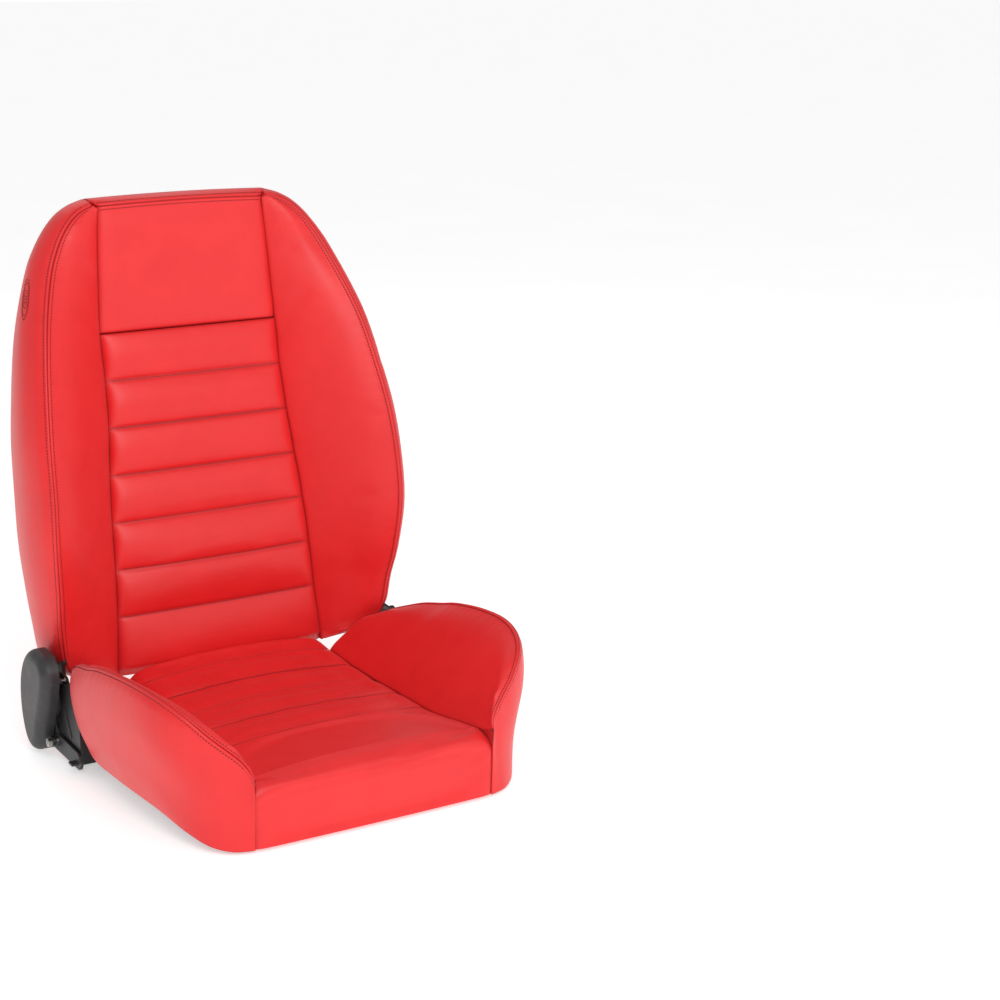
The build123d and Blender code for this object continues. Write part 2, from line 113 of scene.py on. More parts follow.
zinc, tree, shader, here = new_material("zinc_plated_steel")
bloom_mm, turning_mm, wave_bands = 7.0, 0.7, 6.3
bloom = add(tree, "ShaderNodeTexNoise", {"Scale": 1 / (bloom_mm * mm), "Detail": 4, "Roughness": 0.5},
            {"Vector": here})
tint = add(tree, "ShaderNodeValToRGB", links={"Fac": bloom}, stops=[(0.3, "#8F908C"), (0.7, "#C9C8C0")])
shader.inputs["Metallic"].default_value = 1.0
dulled = add(tree, "ShaderNodeTexNoise", {"Scale": 1 / (bloom_mm / 2 * mm), "Detail": 5, "Roughness": 0.5},
             {"Vector": here})
sheen = add(tree, "ShaderNodeMapRange", {"To Min": 0.24, "To Max": 0.42}, {"Value": dulled})
rings = add(tree, "ShaderNodeTexWave", {"Scale": 1 / (turning_mm * mm) / wave_bands, "Distortion": 1.0},
            {"Vector": here}, bands_direction="X")
skin = add(tree, "ShaderNodeBump", {"Strength": 0.5, "Distance": 0.03 * mm}, {"Height": rings.outputs["Fac"]})
connect(tree, shader, {"Base Color": tint, "Roughness": sheen, "Normal": skin})
give(zinc, "mounting_bushes", "bracket_bolts", "pivot_bolt_right", "pivot_nut_right", "lever_bolt",
     "cover_screws", "arm_spacers", "arm_bolts", "drive_pin", "cam_shaft", "lock_cam")

# ---- Release lever and gear housing ----------------------------------------------------------------
# Blanked and folded steel strip, zinc-phosphated and oiled. The phosphate gives a soft grey, mottled,
# nearly matt skin, smoother in patches where it is handled.

phosphate, tree, shader, here = new_material("phosphated_steel")
crystal_mm = 2.2
mottle = add(tree, "ShaderNodeTexNoise", {"Scale": 1 / (crystal_mm * mm), "Detail": 5, "Roughness": 0.65},
             {"Vector": here})
tint = add(tree, "ShaderNodeValToRGB", links={"Fac": mottle}, stops=[(0.3, "#2C2C2D"), (0.72, "#434344")])
shader.inputs["Metallic"].default_value = 0.35
rubbed = add(tree, "ShaderNodeTexNoise", {"Scale": 1 / (rub_mm * mm), "Detail": 3, "Roughness": 0.5},
             {"Vector": here})
sheen = add(tree, "ShaderNodeMapRange", {"To Min": 0.42, "To Max": 0.6}, {"Value": rubbed})
crystals = add(tree, "ShaderNodeTexNoise",
               {"Scale": 1 / (crystal_mm / 2 * mm), "Detail": 3, "Roughness": 0.5},
               {"Vector": here})
skin = add(tree, "ShaderNodeBump", {"Strength": 0.6, "Distance": 0.05 * mm}, {"Height": crystals})
connect(tree, shader, {"Base Color": tint, "Roughness": sheen, "Normal": skin})
give(phosphate, "recliner_housing", "release_lever")

# ---- Zigzag springs and their clips ----------------------------------------------------------------
# Oil-tempered spring wire, bent cold, with a dark drawn surface and a thin film of oil.

wire, tree, shader, here = new_material("oil_tempered_wire")
drawn_mm = 3.0
drawn = add(tree, "ShaderNodeTexNoise", {"Scale": 1 / (drawn_mm * mm), "Detail": 4, "Roughness": 0.5},
            {"Vector": here})
tint = add(tree, "ShaderNodeValToRGB", links={"Fac": drawn}, stops=[(0.3, "#37383A"), (0.7, "#626468")])
shader.inputs["Metallic"].default_value = 1.0
oiled = add(tree, "ShaderNodeTexNoise", {"Scale": 1 / (dust_mm * mm), "Detail": 3, "Roughness": 0.5},
            {"Vector": here})
sheen = add(tree, "ShaderNodeMapRange", {"To Min": 0.28, "To Max": 0.45}, {"Value": oiled})
scratches = add(tree, "ShaderNodeTexNoise", {"Scale": 1 / (drawn_mm / 4 * mm), "Detail": 2, "Roughness": 0.5},
                {"Vector": here})
skin = add(tree, "ShaderNodeBump", {"Strength": 0.5, "Distance": 0.03 * mm}, {"Height": scratches})
connect(tree, shader, {"Base Color": tint, "Roughness": sheen, "Normal": skin})
give(wire, "seat_springs", "seat_spring_clips", "back_springs", "back_spring_clips", "lever_spring")

# ---- Dust cloth ------------------------------------------------------------------------------------
# Spun-bonded black felt stapled under the base. It is matt, with pressed bond points and loose fibres.

felt, tree, shader, here = new_material("spun_bonded_felt")
bond_mm, fibre_mm = 2.4, 0.8
fibres = add(tree, "ShaderNodeTexNoise", {"Scale": 1 / (fibre_mm * mm), "Detail": 6, "Roughness": 0.7},
             {"Vector": here})
tint = add(tree, "ShaderNodeValToRGB", links={"Fac": fibres}, stops=[(0.3, "#0E0E0F"), (0.75, "#262628")])
shader.inputs["Roughness"].default_value = 0.92
shader.inputs["Sheen Weight"].default_value = 0.25
points = add(tree, "ShaderNodeTexVoronoi", {"Scale": 1 / (bond_mm * mm), "Randomness": 0.15},
             {"Vector": here})
pressed = add(tree, "ShaderNodeBump", {"Strength": 0.6, "Distance": 0.3 * mm}, {"Height": points})
skin = add(tree, "ShaderNodeBump", {"Strength": 0.6, "Distance": 0.15 * mm},
           {"Height": fibres, "Normal": pressed})
connect(tree, shader, {"Base Color": tint, "Normal": skin})
give(felt, "underside_cloth")

# ---- Recliner cover --------------------------------------------------------------------------------
# Injection-moulded charcoal ABS over the left pivot, with a spark-eroded grain from the tool.
# The grain scatters light softly, and handling leaves patches that are slightly smoother.

abs_plastic, tree, shader, here = new_material("abs_spark_grain_charcoal")
grain_mm, fleck_mm = 0.9, 0.5
dust = add(tree, "ShaderNodeTexNoise", {"Scale": 1 / (dust_mm * mm), "Detail": 3, "Roughness": 0.5},
           {"Vector": here})
tint = add(tree, "ShaderNodeValToRGB", links={"Fac": dust}, stops=[(0.3, "#2B2B2D"), (0.7, "#353537")])
handled = add(tree, "ShaderNodeTexNoise", {"Scale": 1 / (rub_mm * mm), "Detail": 4, "Roughness": 0.5},
              {"Vector": here})
sheen = add(tree, "ShaderNodeMapRange", {"To Min": 0.42, "To Max": 0.56}, {"Value": handled})
shader.inputs["IOR"].default_value = 1.53
flecks = add(tree, "ShaderNodeTexNoise", {"Scale": 1 / (fleck_mm * mm), "Detail": 2, "Roughness": 0.5},
             {"Vector": here})
fine = add(tree, "ShaderNodeBump", {"Strength": 0.5, "Distance": 0.04 * mm}, {"Height": flecks})
pits = add(tree, "ShaderNodeTexVoronoi", {"Scale": 1 / (grain_mm * mm)}, {"Vector": here})
skin = add(tree, "ShaderNodeBump", {"Strength": 0.6, "Distance": 0.12 * mm}, {"Height": pits, "Normal": fine})
connect(tree, shader, {"Base Color": tint, "Roughness": sheen, "Normal": skin})
give(abs_plastic, "recliner_cover")

# ---- Cushion middle pad ----------------------------------------------------------------------------
# Moulded foam under a vinyl panel. Five seams across it make the channels, and a plain panel rolls
# over the front and down to the hem. The vinyl is PVC on knitted cloth: smooth, satin, finely grained.

pivot = Vector(next(j for j in frame["joints"] if j["name"] == "backrest_recline")["pos_m"])


def linked(points, count=None, step=1.5):
    """A smooth curve through points, in even steps or as an even count of points."""
    p = np.array(points, float)
    ends = np.vstack([2 * p[0] - p[1], p, 2 * p[-1] - p[-2]])
    fine = []
    for a, b, c, d in zip(ends, ends[1:], ends[2:], ends[3:]):
        t = np.linspace(0, 1, 20, endpoint=False)[:, None]
        fine.append(0.5 * (2 * b + (c - a) * t + (2 * a - 5 * b + 4 * c - d) * t ** 2
                           + (3 * b - a - 3 * c + d) * t ** 3))
    fine = np.vstack(fine + [p[-1:]])
    along = np.r_[0, np.cumsum(np.linalg.norm(np.diff(fine, axis=0), axis=1))]
    at = np.linspace(0, along[-1], count or int(along[-1] / step) + 2)
    return np.stack([np.interp(at, along, fine[:, k]) for k in range(3)], 1)


def from_seam(length, near, count):
    """Distances from a seam: the close ones given, then even ones out to the length."""
    near = np.array(near, float) * min(1.0, length / (3 * near[-1]))
    return np.r_[near[:-1], np.linspace(near[-1], length, count)]


def closed_pad(name, rings):
    """A closed mesh from rings of points, one after another, with both ends filled."""
    rows, count = rings.shape[:2]
    verts = [tuple(v * mm) for v in rings.reshape(-1, 3)]
    faces = []
    for i in range(rows - 1):
        for j in range(count):
            k = (j + 1) % count
            faces.append((i * count + j, i * count + k, (i + 1) * count + k, (i + 1) * count + j))
    for first, order in ((0, -1), ((rows - 1) * count, 1)):
        middle = len(verts)
        verts.append(tuple(np.mean(verts[first:first + count], axis=0)))
        for j in range(count):
            faces.append((first + j, first + (j + 1) % count, middle)[::order])
    mesh = bpy.data.meshes.new(name)
    mesh.from_pydata(verts, [], faces)
    mesh.validate()
    mesh.update()
    mesh.polygons.foreach_set("use_smooth", [True] * len(mesh.polygons))
    piece = bpy.data.objects.new(name, mesh)
    bpy.context.scene.collection.objects.link(piece)
    return piece


def outward(rings):
    """Unit normals of a grid of rings, away from the middle of each ring."""
    along = np.gradient(rings, axis=0)
    around = (np.roll(rings, -1, 1) - np.roll(rings, 1, 1)) / 2
    normal = np.cross(around, along)
    normal /= np.maximum(np.linalg.norm(normal, axis=2, keepdims=True), 1e-9)
    away = rings - rings.mean(axis=1, keepdims=True)
    return normal if (normal * away).sum() > 0 else -normal


def smoothed(field, times):
    """A grid of values with small steps taken out."""
    for _ in range(times):
        field[1:-1] = (field[:-2] + 2 * field[1:-1] + field[2:]) / 4
        field[:, 1:-1] = (field[:, :-2] + 2 * field[:, 1:-1] + field[:, 2:]) / 4
    return field


def filled_out(rings, held, pressure, most_mm):
    """How far cloth pressure moves the cover between the held points, cut off at most_mm."""
    skip, last_frame = 3, 20
    rows = np.unique(np.r_[np.arange(0, len(rings), skip), len(rings) - 1])
    columns = np.unique(np.r_[np.arange(0, rings.shape[1], skip), rings.shape[1] - 1])
    coarse = rings[np.ix_(rows, columns)]
    piece = closed_pad("swelling", coarse)
    group = piece.vertex_groups.new(name="held")
    keep = np.zeros(len(piece.data.vertices), bool)
    keep[:coarse.shape[0] * coarse.shape[1]] = held[np.ix_(rows, columns)].ravel()
    keep[coarse.shape[0] * coarse.shape[1]:] = True
    group.add(np.flatnonzero(keep).tolist(), 1.0, "REPLACE")
    cloth = piece.modifiers.new("cover", "CLOTH").settings
    cloth.vertex_group_mass = "held"
    cloth.use_pressure = True
    cloth.uniform_pressure_force = pressure
    cloth.effector_weights.gravity = 0
    cloth.tension_stiffness = cloth.compression_stiffness = 40
    cloth.bending_stiffness = 2.0
    for number in range(1, last_frame + 1):
        bpy.context.scene.frame_set(number)
    shape = piece.evaluated_get(bpy.context.evaluated_depsgraph_get()).to_mesh()
    moved = np.empty(len(shape.vertices) * 3)
    shape.vertices.foreach_get("co", moved)
    count = coarse.shape[0] * coarse.shape[1]
    delta = moved.reshape(-1, 3)[:count].reshape(coarse.shape) / mm - coarse
    bpy.data.objects.remove(piece)
    bpy.context.scene.frame_set(1)
    length = np.linalg.norm(delta, axis=2, keepdims=True)
    delta *= np.minimum(1.0, most_mm / np.maximum(length, 1e-9))
    full = np.empty((len(rings), len(columns), 3))
    for j in range(len(columns)):
        for k in range(3):
            full[:, j, k] = np.interp(np.arange(len(rings)), rows, delta[:, j, k])
    out = np.empty_like(rings)
    for i in range(len(rings)):
        for k in range(3):
            out[i, :, k] = np.interp(np.arange(rings.shape[1]), columns, full[i, :, k])
    return smoothed(out, 3)


def mark(piece, name, values):
    """Stores one number for each point, for the material to read."""
    data = np.zeros(len(piece.data.vertices))
    data[:values.size] = values.ravel()
    piece.data.attributes.new(name, "FLOAT", "POINT").data.foreach_set("value", data)


def dress(piece, material, body):
    """Material, body and slot of a piece."""
    piece.data.materials.clear()
    piece.data.materials.append(material)
    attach(piece, body)


# The vinyl is a saturated signal red. Its grain is a pebble of about 1.5 mm with finer pores, drawn a
# little coarser than real so that it shows. Down in the seams its colour is darkened with painted shade, and
# it is duller there.
vinyl, tree, shader, here = new_material("vinyl_smooth_red")
pebble_mm, pore_mm, hide_mm = 1.5, 0.6, 60.0
hide = add(tree, "ShaderNodeTexNoise", {"Scale": 1 / (hide_mm * mm), "Detail": 4, "Roughness": 0.6},
           {"Vector": here})
shade = add(tree, "ShaderNodeValToRGB", links={"Fac": hide}, stops=[(0.3, "#E22023"), (0.7, "#EA2628")])
# The crease numbers mix the vinyl's colour towards a dark red, as painted shade in seams and creases, and
# raise its roughness.
crease_shade = add(tree, "ShaderNodeAttribute", attribute_name="crease_shade").outputs["Fac"]
seam_shade_mix = add(tree, "ShaderNodeMix", data_type="RGBA")
factor, own_colour_in, shade_colour_in = (next(i for i in seam_shade_mix.inputs if i.name == n and i.type == t)
                       for n, t in (("Factor", "VALUE"), ("A", "RGBA"), ("B", "RGBA")))
tree.links.new(crease_shade, factor)
tree.links.new(shade.outputs["Color"], own_colour_in)
# The dark red of the painted shade in the seams.
shade_colour_in.default_value = linear("#9A0A0D")
tint = next(o for o in seam_shade_mix.outputs if o.type == "RGBA")
handled = add(tree, "ShaderNodeTexNoise", {"Scale": 1 / (hide_mm / 2 * mm), "Detail": 5, "Roughness": 0.5},
              {"Vector": here})
dull = add(tree, "ShaderNodeMath", links={0: handled, 1: crease_shade}, operation="ADD")
sheen = add(tree, "ShaderNodeMapRange", {"To Min": 0.36, "To Max": 0.5}, {"Value": dull})
shader.inputs["IOR"].default_value = 1.5
shader.inputs["Sheen Weight"].default_value = 0.06
shader.inputs["Sheen Roughness"].default_value = 0.4
pores = add(tree, "ShaderNodeTexNoise", {"Scale": 1 / (pore_mm * mm), "Detail": 3, "Roughness": 0.5},
            {"Vector": here})
fine = add(tree, "ShaderNodeBump", {"Strength": 0.35, "Distance": 0.05 * mm}, {"Height": pores})
pebble = add(tree, "ShaderNodeTexVoronoi", {"Scale": 1 / (pebble_mm * mm)}, {"Vector": here},
             feature="SMOOTH_F1")
skin = add(tree, "ShaderNodeBump", {"Strength": 0.35, "Distance": 0.1 * mm},
           {"Height": pebble, "Normal": fine})
connect(tree, shader, {"Base Color": tint, "Roughness": sheen, "Normal": skin})

cushion_side = [  # half-width, y, z of the seam at each side of the pad, front to rear
    (172, -262, 98), (165, -205, 93), (158, -150, 87), (156, -108, 84), (155, -30, 82), (154, 45, 80),
    (153, 120, 82), (153, 218, 88)]
cushion_seams = [-108 + 71 * i for i in range(5)]
pad_hem_y, pad_hem_z, pad_roll, pad_rear = -257, 5, 30, 218
under_z, tucked_z = 58.5, 66  # where the foam sits on the springs, and where the cover turns under
pad_crown, channel_puff, valley, seam_drop = 12.0, 6.0, 6.0, 2.6


def between(value, start, end):
    """0 to 1 as value goes from start to end, smoothly."""
    t = np.clip((value - start) / (end - start), 0, 1)
    return t * t * (3 - 2 * t)


def channels(at, seams, puff, drop):
    """Height of a channelled panel along its length: full between seams, pinched at each."""
    height = np.zeros_like(at)
    for a, b in zip(seams, seams[1:]):
        t = np.clip((at - a) / (b - a), 0, 1)
        inside = (at >= a) & (at <= b)
        height = np.where(inside, puff * (1 - np.abs(2 * t - 1) ** 2.0), height)
    for s in seams:
        height -= drop * np.exp(-np.abs(at - s) / 1.8)
    return height


side_line = linked(cushion_side, step=1.0)
top_y = np.linspace(pad_rear, pad_hem_y - 5 + pad_roll, 182)
half = np.interp(top_y, side_line[:, 1], side_line[:, 0])
edge_z = np.interp(top_y, side_line[:, 1], side_line[:, 2])
across = np.r_[-1, np.linspace(-0.992, 0.992, 97), 1]
rings = []
for y, w, z in zip(top_y, half, edge_z):
    puffed = channels(np.array([y]), cushion_seams + [240], channel_puff, seam_drop)[0]
    from_edge = (1 - np.abs(across)) * w
    crown = pad_crown * (1 - np.abs(across) ** 2.2)
    lip = -valley * np.exp(-from_edge / 6.0)
    fade = 1 - np.exp(-from_edge / 14.0)
    rear_roll = -6 * between(y, 206, pad_rear) ** 2
    top = np.stack([across * w, np.full_like(across, y), z + crown + lip + puffed * fade + rear_roll], 1)
    under = np.array([[w - 1, y, tucked_z], [w - 1, y, under_z], [0, y, under_z], [-w + 1, y, under_z],
                      [-w + 1, y, tucked_z]])
    rings.append(np.vstack([top, under]))
front_y, front_top = -262.0, 98.0
turn = np.linspace(0, 1, 24)[1:] * math.pi / 2
for a in turn:
    y0 = front_y + pad_roll - pad_roll * math.sin(a)
    w = 166 + 6 * between(a, 0, 1.4)
    from_edge = (1 - np.abs(across)) * w
    crown = pad_crown * (1 - np.abs(across) ** 2.2) * (1 - 0.5 * a / 1.57)
    lip = -valley * 0.6 * np.exp(-from_edge / 6.0)
    out = pad_roll + crown + lip
    top = np.stack([across * w, front_y + pad_roll - out * math.sin(a),
                    front_top - 4 - pad_roll + out * math.cos(a)], 1)
    under = np.array([[w - 1, y0 + 20, 60], [w - 1, y0 + 20, under_z], [0, y0 + 20, under_z],
                      [-w + 1, y0 + 20, under_z], [-w + 1, y0 + 20, 60]])
    rings.append(np.vstack([top, under]))
for z in np.linspace(front_top - 4 - pad_roll - 2.5, pad_hem_z, 26):
    t = (z - pad_hem_z) / 60
    w = 172 + 0.5 * t
    from_edge = (1 - np.abs(across)) * w
    belly = (pad_crown * 0.5 * (1 - np.abs(across) ** 2.2)) * (0.3 + 0.7 * between(z, pad_hem_z, 50))
    lip = valley * 0.6 * np.exp(-from_edge / 6.0)
    face_y = front_y + 3 * (1 - t) - belly + lip
    top = np.stack([across * w, face_y, np.full_like(across, z)], 1)
    under = np.array([[w - 1, front_y + 22, z], [w - 1, front_y + 24, z], [0, front_y + 24, z],
                      [-w + 1, front_y + 24, z], [-w + 1, front_y + 22, z]])
    rings.append(np.vstack([top, under]))
rings = np.array(rings)
count_top = len(across)
at_side = np.zeros(rings.shape[1])
at_side[:count_top] = (1 - np.abs(across)) * 155
held = np.zeros(rings.shape[:2], bool)
held[:, count_top:] = True
held[:, at_side < 5] = True
for s in cushion_seams:
    held[:len(top_y)][np.abs(top_y - s) < 3.5] = True
held[0] = held[-1] = True
rings = rings + filled_out(rings, held, 5.0, 6.0)
# Painted shade: how far the vinyl's colour is darkened along the side seams and the channel seams.
crease_shade_map = np.zeros(rings.shape[:2])
crease_shade_map[:, :count_top] = 0.7 * np.exp(-at_side[:count_top] / 1.8)
for s in cushion_seams:
    pinched = 0.8 * np.exp(-np.abs(top_y - s) / 1.6)[:, None]
    crease_shade_map[:len(top_y)] = np.maximum(crease_shade_map[:len(top_y)], pinched)
cushion_pad_rings = rings
cushion_pad = closed_pad("cushion_pad_cover", rings)
mark(cushion_pad, "crease_shade", crease_shade_map)
dress(cushion_pad, vinyl, "seat_base")
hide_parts("cushion_middle_pad")

# ---- Cushion bolsters ------------------------------------------------------------------------------
# Each is a foam wall beside the sitter. An inner panel rises from the pad's side seam to a ridge, where
# it is sewn to the outer panel with a lapped seam, topstitched on both sides. The outer panel hangs
# down outside the frame to a turned hem.

ridge_near = [0, 0.7, 1.4, 2.2, 3.2, 4.2, 5.0, 5.6, 6.2, 7.0, 8.2, 10.0, 13.0]
stitch_off = 5.6  # from the middle of a lapped seam to each row of stitches
section_points = 160  # points on a smooth cross-section
underside = 5  # points of each ring that close it inside the pad


def lapped_seam(distance):
    """Height across a lapped, twice topstitched seam, by the distance from its middle."""
    d = np.abs(distance)
    groove = -1.9 * np.exp(-(d / 0.9) ** 2)
    band = 0.9 * between(d, 0.6, 2.0) * (1 - between(d, 5.0, 8.0))
    dip = -0.8 * np.exp(-((d - stitch_off) / 0.9) ** 2)
    return groove + band + dip


def by_distance(line, distances):
    """Points on a line at these distances from its start."""
    along = np.r_[0, np.cumsum(np.linalg.norm(np.diff(line, axis=0), axis=1))]
    return np.stack([np.interp(distances, along, line[:, k]) for k in range(3)], 1), along[-1]


cushion_ridge = linked([
    (172, -263, 98), (176, -256, 110), (184, -251, 123), (200, -243, 139), (219, -233, 157),
    (241, -214, 181), (257, -181, 196), (267, -131, 201), (271, -64, 196), (271, 3, 185),
    (270, 44, 174), (265, 88, 163), (257, 122, 151), (248, 155, 138), (240, 182, 124)], 160)
cushion_hem = linked([
    (172, -257, 4), (184, -254, 4), (202, -246, 5), (222, -227, 10), (239, -194, 21), (251, -140, 32),
    (262, -64, 37), (265, 3, 36), (266, 44, 36), (265, 78, 42), (261, 102, 56), (250, 124, 78),
    (240, 152, 94), (234, 178, 98)], 160)
cushion_inner = np.stack([
    np.interp(cushion_ridge[:, 1], side_line[:, 1], side_line[:, 0]),
    cushion_ridge[:, 1],
    np.interp(cushion_ridge[:, 1], side_line[:, 1], side_line[:, 2])], 1)

rings, from_ridge, from_inner = [], [], []
for n, (inner, ridge, hem) in enumerate(zip(cushion_inner, cushion_ridge, cushion_hem)):
    t = n / (len(cushion_ridge) - 1)
    rise = ridge - inner
    room = np.linalg.norm(rise)
    soft = min(1.0, room / 60)
    face = linked([
        inner + (-0.5, 0, -5 * soft), inner + rise * 0.06 + (1.5 * soft, 0, 1.0 * soft),
        inner + rise * 0.34 + (-3 * soft, 0, 5 * soft), inner + rise * 0.7 + (-7 * soft, 0, 9 * soft), ridge],
        section_points)
    fall = hem - ridge
    bulge = 17 * between(t, 0.0, 0.34) * (1 - 0.3 * between(t, 0.85, 1))
    facing = math.radians(90 - 55 * (1 - between(t, 0, 0.25)))
    out = np.array([math.sin(facing), -0.35 * (1 - between(t, 0, 0.3)), 0])
    panel = linked([
        ridge, ridge + fall * 0.10 + out * bulge * 0.62, ridge + fall * 0.35 + out * bulge,
        ridge + fall * 0.7 + out * bulge * (0.3 + 0.45 * between(t, 0.2, 0.6)), hem], section_points)
    _, face_length = by_distance(face, [0])
    _, panel_length = by_distance(panel, [0])
    up = face_length - from_seam(face_length, ridge_near, 34)[::-1]
    down = from_seam(panel_length, ridge_near, 40)[1:]
    face_points, _ = by_distance(face, up)
    panel_points, _ = by_distance(panel, down)
    step_in = min(6.0, 0.3 * (hem[0] - inner[0]))
    tuck = np.array([
        hem + (-0.4 * step_in, 2.5, 1.0), hem + (-0.7 * step_in, 4.0, 6.0),
        [hem[0] - step_in, hem[1] + 8, max(hem[2] + 14, 67)],
        [inner[0] + step_in, inner[1] + 8, 67], [inner[0] + 0.5, inner[1] + 5, 76]])
    rings.append(np.vstack([face_points, panel_points, tuck]))
    from_ridge.append(np.r_[up - face_length, down, np.full(underside, 60.0)])
    from_inner.append(np.r_[up, np.full(len(down) + underside, 60.0)])
rings, from_ridge, from_inner = np.array(rings), np.array(from_ridge), np.array(from_inner)
held = (np.abs(from_ridge) < 4) | (from_inner < 4)
held[:, -7:] = True
held[:2] = held[-2:] = True
rings = rings + filled_out(rings, held, 4.0, 6.0)
gathers = 0.35 * np.sin(np.arange(len(rings)) * 1.15 + 1.3 * np.sin(np.arange(len(rings)) * 0.21))[:, None]
away = np.abs(from_ridge)
detail = lapped_seam(from_ridge) + gathers * np.exp(-away / 14) * between(away, 5, 9)
detail[:, -underside:] = 0
rings = rings + outward(rings) * detail[..., None]
# Painted shade: how far the vinyl's colour is darkened in the ridge groove, at the stitch dips and at the
# inner seam.
crease_shade_map = np.maximum(0.9 * np.exp(-(away / 1.1) ** 2), 0.7 * np.exp(-from_inner / 1.8))
crease_shade_map = np.maximum(crease_shade_map, 0.35 * np.exp(-((away - stitch_off) / 1.0) ** 2))
cushion_bolster_rings = rings
cushion_from_ridge = from_ridge
for side, name in ((1, "right"), (-1, "left")):
    bolster = closed_pad(f"cushion_bolster_cover_{name}", rings * (side, 1, 1))
    if side < 0:
        bolster.data.flip_normals()
    mark(bolster, "crease_shade", crease_shade_map)
    dress(bolster, vinyl, "seat_base")
    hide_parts(f"cushion_bolster_{name}")

# ---- Back middle pad -------------------------------------------------------------------------------
# Foam in front of the back springs, under one vinyl panel. Seams across it, 67 mm apart, make six
# channels above a plain panel. Everything on the back is drawn upright here, then leaned with the frame.

lean = math.radians(8.0)


def leaned(rings):
    """From the back's upright frame, with the pivot at the origin, to where it is at rest."""
    x, y, z = rings[..., 0], rings[..., 1], rings[..., 2]
    return np.stack([x, pivot.y / mm + y * math.cos(lean) + z * math.sin(lean),
                     pivot.z / mm - y * math.sin(lean) + z * math.cos(lean)], -1)


back_side = linked([  # half-width, y, z of the seam at each side of the pad, foot to top
    (163, 37, 4), (156, 33, 92), (153, 31, 160), (150, 34, 228), (145, 38, 295), (139, 40, 362),
    (136, 44, 430), (136, 46, 497), (133, 43, 560), (129, 38, 630), (126, 35, 673)], step=1.0)
head_seam = 497.0
back_seams = [92.0 + 67.5 * i for i in range(7)]
back_crown, back_puff, back_valley = 5.0, 7.0, 5.0
foam_back, foam_side = 84, 70  # the plane behind the pads, and where a pad's side ends
pad_levels = np.linspace(5, head_seam - 1.0, 206)
across = np.r_[-1, np.linspace(-0.99, 0.99, 95), 1]
rings = []
for z in pad_levels:
    w, y = np.interp(z, back_side[:, 2], back_side[:, 0]), np.interp(z, back_side[:, 2], back_side[:, 1])
    puffed = channels(np.array([z]), [back_seams[0] - 110] + back_seams, back_puff, 3.0)[0]
    from_edge = (1 - np.abs(across)) * w
    crown = back_crown * (1 - np.abs(across) ** 2.2)
    lip = -back_valley * np.exp(-from_edge / 5.0)
    fade = 1 - np.exp(-from_edge / 10.0)
    foot = -10 * (1 - between(z, 4, 20))
    front = np.stack([across * w, y - crown - lip - puffed * fade - foot, np.full_like(across, z)], 1)
    rear = np.array([[w - 1, 66, z], [w - 1, foam_back, z], [0, foam_back, z], [-w + 1, foam_back, z],
                     [-w + 1, 66, z]])
    rings.append(np.vstack([front, rear]))
rings = np.array(rings)
at_side = np.full(rings.shape[1], 60.0)
at_side[:len(across)] = (1 - np.abs(across)) * 145
held = np.zeros(rings.shape[:2], bool)
held[:, len(across):] = True
held[:, at_side < 5] = True
for s in back_seams:
    held[np.abs(pad_levels - s) < 3] = True
held[:2] = held[-2:] = True
rings = rings + filled_out(rings, held, 5.0, 5.0)
# Painted shade: how far the vinyl's colour is darkened along the side seams and the channel seams.
crease_shade_map = np.tile(0.7 * np.exp(-at_side / 1.8), (len(pad_levels), 1))
for s in back_seams:
    crease_shade_map = np.maximum(crease_shade_map, 0.85 * np.exp(-np.abs(pad_levels - s) / 1.6)[:, None])
crease_shade_map[:, len(across):] = 0
back_pad_rings = rings
back_pad = closed_pad("back_pad_cover", leaned(rings))
mark(back_pad, "crease_shade", crease_shade_map)
dress(back_pad, vinyl, "backrest")
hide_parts("back_middle_pad")

# ---- Back bolsters ---------------------------------------------------------------------------------
# Foam wings that stand forward of the pad. An inner panel runs from the pad's side seam to the ridge,
# and a boxing strip runs from the ridge round to the rear board. The seam on the ridge is lapped and
# topstitched on both sides, from the foot up round the shoulder to the corner of the headrest.

back_ridge = linked([
    (166, 36, 8), (184, 30, 11), (208, 21, 16), (230, 13, 24), (245, 6, 36), (253, -4, 58), (257, -17, 96),
    (262, -41, 146), (266, -62, 217), (264, -67, 288), (260, -60, 356), (251, -45, 427), (241, -30, 486),
    (229, -12, 534), (211, 9, 588), (194, 19, 624), (176, 25, 650), (156, 31, 667), (134, 35, 676)], 230)
tangent = np.gradient(back_ridge, axis=0)
sideways = np.stack([tangent[:, 2], np.zeros(len(tangent)), -tangent[:, 0]], 1)
sideways /= np.linalg.norm(sideways, axis=1, keepdims=True)
rear_y = 112.0


def wing(n):
    """Inner seam point, ridge point, boxing bulge, rear drop and rear edge of one level of the bolster."""
    ridge = back_ridge[n]
    z = ridge[2] - 3 * between(ridge[2], 640, 676) - 2 * (1 - between(ridge[2], 8, 60))
    inner = np.array([np.interp(z, back_side[:, 2], back_side[:, 0]),
                      np.interp(z, back_side[:, 2], back_side[:, 1]), z])
    heights = [8, 40, 60, 110, 200, 360, 500, 600, 660, 676]
    bulge = np.interp(ridge[2], heights, [2, 9, 15, 17, 22, 24, 23, 20, 15, 12])
    drop = np.interp(ridge[2], heights, [6, 12, 15, 18, 27, 29, 27, 22, 18, 15])
    rear = rear_y - 22 * (1 - between(ridge[2], 6, 46))
    return inner, ridge, bulge, drop, rear


